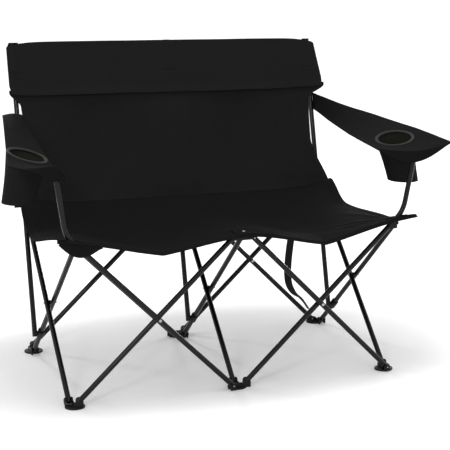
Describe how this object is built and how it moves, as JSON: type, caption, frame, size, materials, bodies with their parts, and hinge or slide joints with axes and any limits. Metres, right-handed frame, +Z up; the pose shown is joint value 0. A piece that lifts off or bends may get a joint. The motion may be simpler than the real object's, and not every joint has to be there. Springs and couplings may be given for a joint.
{
  "type": "folding camping loveseat",
  "caption": "Folding camping loveseat with a scissor frame of steel tube, a cloth seat and back, and an armrest with a cup pouch at each end.",
  "frame": {"origin": "centre of the floor area that the object covers, on the floor", "axes": "+X along the width, to the right of someone who looks at the front; +Y from front to rear; +Z up"},
  "size_m": [1.4082, 0.7205, 0.9937],
  "materials": {
    "black_steel": "black powder coat with a soft shine",
    "bright_steel": "bright rivet",
    "black_plastic": "moulded, satin",
    "seat_cloth": "coated woven polyester",
    "back_cloth": "coated woven polyester",
    "rim_binding": "binding tape over a ring",
    "webbing": "woven strap"
  },
  "bodies": {
    "front_centre_foot": {"front_centre_foot": "black_plastic"},
    "front_left_arm_tube": {"front_left_arm_tube": "black_steel", "left_post_cap": "black_plastic", "front_left_rivet": "bright_steel"},
    "front_left_cross_tube": {"front_left_cross_tube": "black_steel"},
    "front_left_foot": {"front_left_foot": "black_plastic"},
    "front_left_bracket": {"front_left_bracket": "black_plastic"},
    "front_centre_bracket": {"front_centre_bracket": "black_plastic"},
    "front_right_arm_tube": {"front_right_arm_tube": "black_steel", "right_post_cap": "black_plastic", "front_right_rivet": "bright_steel"},
    "front_right_cross_tube": {"front_right_cross_tube": "black_steel"},
    "front_right_foot": {"front_right_foot": "black_plastic"},
    "front_right_bracket": {"front_right_bracket": "black_plastic"},
    "rear_centre_foot": {"rear_centre_foot": "black_plastic"},
    "rear_left_inner_tube": {"rear_left_inner_tube": "black_steel", "rear_left_rivet": "bright_steel"},
    "rear_left_outer_tube": {"rear_left_outer_tube": "black_steel"},
    "rear_left_foot": {"rear_left_foot": "black_plastic"},
    "rear_left_bracket": {"rear_left_bracket": "black_plastic"},
    "rear_right_inner_tube": {"rear_right_inner_tube": "black_steel", "rear_right_rivet": "bright_steel"},
    "rear_right_outer_tube": {"rear_right_outer_tube": "black_steel", "strap": "webbing"},
    "rear_right_foot": {"rear_right_foot": "black_plastic"},
    "rear_right_bracket": {"rear_right_bracket": "black_plastic"},
    "rear_centre_bracket": {"rear_centre_bracket": "black_plastic"},
    "seat": {"seat_panel": "seat_cloth", "left_corner_pocket": "seat_cloth"},
    "left_side_front_tube": {"left_side_front_tube": "black_steel", "left_side_rivet": "bright_steel"},
    "left_side_rear_tube": {"left_side_rear_tube": "black_steel"},
    "left_slider": {"left_slider": "black_plastic"},
    "left_upright": {"left_upright": "black_steel", "left_upright_cap": "black_plastic", "left_upright_shoe": "black_plastic"},
    "centre_side_front_tube": {"centre_side_front_tube": "black_steel", "centre_side_rivet": "bright_steel"},
    "centre_side_rear_tube": {"centre_side_rear_tube": "black_steel"},
    "centre_slider": {"centre_slider": "black_plastic"},
    "centre_upright": {"centre_upright": "black_steel", "centre_upright_cap": "black_plastic", "centre_upright_shoe": "black_plastic", "back_panel": "back_cloth", "head_band": "back_cloth"},
    "right_side_front_tube": {"right_side_front_tube": "black_steel", "right_side_rivet": "bright_steel"},
    "right_side_rear_tube": {"right_side_rear_tube": "black_steel"},
    "right_slider": {"right_slider": "black_plastic"},
    "right_upright": {"right_upright": "black_steel", "right_upright_cap": "black_plastic", "right_upright_shoe": "black_plastic"},
    "left_arm": {"left_arm_sleeve": "back_cloth", "left_cup_rim": "rim_binding", "left_cup_pouch": "back_cloth"},
    "right_arm": {"right_arm_sleeve": "back_cloth", "right_cup_rim": "rim_binding", "right_cup_pouch": "back_cloth"}
  },
  "joints": [
    {"name": "fold", "type": "hinge", "parent": "front_centre_foot", "child": "front_left_arm_tube", "pos_m": [-0.028, -0.33818, 0.017], "axis": [0, 1, 0], "range_deg": [0, 37], "deforming": ["seat_panel", "left_corner_pocket", "back_panel", "head_band", "left_arm_sleeve", "right_arm_sleeve", "left_cup_pouch", "right_cup_pouch", "left_cup_rim", "right_cup_rim", "strap"]},
    {"name": "front_right_arm_tube_turn", "type": "hinge", "parent": "front_centre_foot", "child": "front_right_arm_tube", "pos_m": [0.028, -0.31818, 0.017], "axis": [0, -1, 0], "range_deg": [0, 37]},
    {"name": "centre_side_front_tube_turn", "type": "hinge", "parent": "front_centre_foot", "child": "centre_side_front_tube", "pos_m": [-0.01, -0.30018, 0.017], "axis": [1, 0, 0], "range_deg": [0, 37]},
    {"name": "front_left_scissor", "type": "hinge", "parent": "front_left_arm_tube", "child": "front_left_cross_tube", "pos_m": [-0.265, -0.32818, 0.2455], "axis": [0, -1, 0], "range_deg": [0, 74]},
    {"name": "front_left_foot_turn", "type": "hinge", "parent": "front_left_cross_tube", "child": "front_left_foot", "pos_m": [-0.502, -0.31818, 0.017], "axis": [0, 1, 0], "range_deg": [0, 37]},
    {"name": "front_centre_bracket_turn", "type": "hinge", "parent": "front_left_cross_tube", "child": "front_centre_bracket", "pos_m": [-0.028, -0.31818, 0.474], "axis": [0, 1, 0], "range_deg": [0, 37]},
    {"name": "front_left_bracket_turn", "type": "hinge", "parent": "front_left_arm_tube", "child": "front_left_bracket", "pos_m": [-0.502, -0.33818, 0.474], "axis": [0, -1, 0], "range_deg": [0, 37]},
    {"name": "front_right_scissor", "type": "hinge", "parent": "front_right_arm_tube", "child": "front_right_cross_tube", "pos_m": [0.265, -0.32818, 0.2455], "axis": [0, 1, 0], "range_deg": [0, 74]},
    {"name": "front_right_foot_turn", "type": "hinge", "parent": "front_right_cross_tube", "child": "front_right_foot", "pos_m": [0.502, -0.33818, 0.017], "axis": [0, -1, 0], "range_deg": [0, 37]},
    {"name": "front_right_bracket_turn", "type": "hinge", "parent": "front_right_arm_tube", "child": "front_right_bracket", "pos_m": [0.502, -0.31818, 0.474], "axis": [0, 1, 0], "range_deg": [0, 37]},
    {"name": "left_side_front_tube_turn", "type": "hinge", "parent": "front_left_foot", "child": "left_side_front_tube", "pos_m": [-0.53, -0.30018, 0.017], "axis": [1, 0, 0], "range_deg": [0, 37]},
    {"name": "left_side_scissor", "type": "hinge", "parent": "left_side_front_tube", "child": "left_side_rear_tube", "pos_m": [-0.52, -0.06318, 0.2455], "axis": [-1, 0, 0], "range_deg": [0, 74]},
    {"name": "left_slider_slide", "type": "slide", "parent": "left_side_rear_tube", "child": "left_slider", "axis": [0, -0.7199, 0.6941], "range_m": [0, 0.14998]},
    {"name": "centre_side_scissor", "type": "hinge", "parent": "centre_side_front_tube", "child": "centre_side_rear_tube", "pos_m": [0, -0.06318, 0.2455], "axis": [-1, 0, 0], "range_deg": [0, 74]},
    {"name": "centre_slider_slide", "type": "slide", "parent": "centre_side_rear_tube", "child": "centre_slider", "axis": [0, -0.7199, 0.6941], "range_m": [0, 0.14998]},
    {"name": "right_side_front_tube_turn", "type": "hinge", "parent": "front_right_foot", "child": "right_side_front_tube", "pos_m": [0.51, -0.30018, 0.017], "axis": [1, 0, 0], "range_deg": [0, 37]},
    {"name": "right_side_scissor", "type": "hinge", "parent": "right_side_front_tube", "child": "right_side_rear_tube", "pos_m": [0.52, -0.06318, 0.2455], "axis": [-1, 0, 0], "range_deg": [0, 74]},
    {"name": "right_slider_slide", "type": "slide", "parent": "right_side_rear_tube", "child": "right_slider", "axis": [0, -0.7199, 0.6941], "range_m": [0, 0.14998]},
    {"name": "rear_centre_foot_turn", "type": "hinge", "parent": "centre_side_rear_tube", "child": "rear_centre_foot", "pos_m": [0.01, 0.17382, 0.017], "axis": [1, 0, 0], "range_deg": [0, 37]},
    {"name": "rear_left_inner_tube_turn", "type": "hinge", "parent": "rear_centre_foot", "child": "rear_left_inner_tube", "pos_m": [-0.028, 0.20182, 0.017], "axis": [0, 1, 0], "range_deg": [0, 37]},
    {"name": "rear_right_inner_tube_turn", "type": "hinge", "parent": "rear_centre_foot", "child": "rear_right_inner_tube", "pos_m": [0.028, 0.22182, 0.017], "axis": [0, -1, 0], "range_deg": [0, 37]},
    {"name": "rear_left_scissor", "type": "hinge", "parent": "rear_left_inner_tube", "child": "rear_left_outer_tube", "pos_m": [-0.265, 0.21182, 0.2455], "axis": [0, -1, 0], "range_deg": [0, 74]},
    {"name": "rear_right_scissor", "type": "hinge", "parent": "rear_right_inner_tube", "child": "rear_right_outer_tube", "pos_m": [0.265, 0.21182, 0.2455], "axis": [0, 1, 0], "range_deg": [0, 74]},
    {"name": "rear_left_foot_turn", "type": "hinge", "parent": "rear_left_outer_tube", "child": "rear_left_foot", "pos_m": [-0.502, 0.22182, 0.017], "axis": [0, 1, 0], "range_deg": [0, 37]},
    {"name": "rear_right_foot_turn", "type": "hinge", "parent": "rear_right_outer_tube", "child": "rear_right_foot", "pos_m": [0.502, 0.20182, 0.017], "axis": [0, -1, 0], "range_deg": [0, 37]},
    {"name": "rear_left_bracket_turn", "type": "hinge", "parent": "rear_left_inner_tube", "child": "rear_left_bracket", "pos_m": [-0.502, 0.20182, 0.474], "axis": [0, -1, 0], "range_deg": [0, 37]},
    {"name": "rear_right_bracket_turn", "type": "hinge", "parent": "rear_right_inner_tube", "child": "rear_right_bracket", "pos_m": [0.502, 0.22182, 0.474], "axis": [0, 1, 0], "range_deg": [0, 37]},
    {"name": "rear_centre_bracket_turn", "type": "hinge", "parent": "centre_side_front_tube", "child": "rear_centre_bracket", "pos_m": [-0.01, 0.17382, 0.474], "axis": [-1, 0, 0], "range_deg": [0, 37]},
    {"name": "left_upright_lean", "type": "hinge", "parent": "rear_left_bracket", "child": "left_upright", "pos_m": [-0.53, 0.19782, 0.474], "axis": [1, 0, 0], "range_deg": [0, 6.57]},
    {"name": "centre_upright_lean", "type": "hinge", "parent": "rear_centre_bracket", "child": "centre_upright", "pos_m": [-0.01, 0.19782, 0.474], "axis": [1, 0, 0], "range_deg": [0, 6.57]},
    {"name": "right_upright_lean", "type": "hinge", "parent": "rear_right_bracket", "child": "right_upright", "pos_m": [0.51, 0.19782, 0.474], "axis": [1, 0, 0], "range_deg": [0, 6.57]},
    {"name": "seat_drop", "type": "hinge", "parent": "rear_centre_bracket", "child": "seat", "pos_m": [0, 0.17932, 0.499], "axis": [1, 0, 0], "range_deg": [0, 80]},
    {"name": "left_arm_swing", "type": "hinge", "parent": "left_upright", "child": "left_arm", "pos_m": [-0.53, 0.28415, 0.768], "axis": [0, 0, 1], "range_deg": [0, 29.56]},
    {"name": "right_arm_swing", "type": "hinge", "parent": "right_upright", "child": "right_arm", "pos_m": [0.51, 0.28767, 0.78], "axis": [0, 0, -1], "range_deg": [0, 28.79]}
  ],
  "couplings": [
    {"joint": "front_right_arm_tube_turn", "follows": "fold", "ratio": 1},
    {"joint": "centre_side_front_tube_turn", "follows": "fold", "ratio": 1},
    {"joint": "front_left_scissor", "follows": "fold", "ratio": 2},
    {"joint": "front_left_foot_turn", "follows": "fold", "ratio": 1},
    {"joint": "front_centre_bracket_turn", "follows": "fold", "ratio": 1},
    {"joint": "front_left_bracket_turn", "follows": "fold", "ratio": 1},
    {"joint": "front_right_scissor", "follows": "fold", "ratio": 2},
    {"joint": "front_right_foot_turn", "follows": "fold", "ratio": 1},
    {"joint": "front_right_bracket_turn", "follows": "fold", "ratio": 1},
    {"joint": "left_side_front_tube_turn", "follows": "fold", "ratio": 1},
    {"joint": "left_side_scissor", "follows": "fold", "ratio": 2},
    {"joint": "left_slider_slide", "follows": "fold", "m_per_rad": 0.23224},
    {"joint": "centre_side_scissor", "follows": "fold", "ratio": 2},
    {"joint": "centre_slider_slide", "follows": "fold", "m_per_rad": 0.23224},
    {"joint": "right_side_front_tube_turn", "follows": "fold", "ratio": 1},
    {"joint": "right_side_scissor", "follows": "fold", "ratio": 2},
    {"joint": "right_slider_slide", "follows": "fold", "m_per_rad": 0.23224},
    {"joint": "rear_centre_foot_turn", "follows": "fold", "ratio": 1},
    {"joint": "rear_left_inner_tube_turn", "follows": "fold", "ratio": 1},
    {"joint": "rear_right_inner_tube_turn", "follows": "fold", "ratio": 1},
    {"joint": "rear_left_scissor", "follows": "fold", "ratio": 2},
    {"joint": "rear_right_scissor", "follows": "fold", "ratio": 2},
    {"joint": "rear_left_foot_turn", "follows": "fold", "ratio": 1},
    {"joint": "rear_right_foot_turn", "follows": "fold", "ratio": 1},
    {"joint": "rear_left_bracket_turn", "follows": "fold", "ratio": 1},
    {"joint": "rear_right_bracket_turn", "follows": "fold", "ratio": 1},
    {"joint": "rear_centre_bracket_turn", "follows": "fold", "ratio": 1},
    {"joint": "left_upright_lean", "follows": "fold", "ratio": 0.17759},
    {"joint": "centre_upright_lean", "follows": "fold", "ratio": 0.17759},
    {"joint": "right_upright_lean", "follows": "fold", "ratio": 0.17759},
    {"joint": "seat_drop", "follows": "fold", "ratio": 2.1622},
    {"joint": "left_arm_swing", "follows": "fold", "ratio": 0.79904},
    {"joint": "right_arm_swing", "follows": "fold", "ratio": 0.77811}
  ]
}
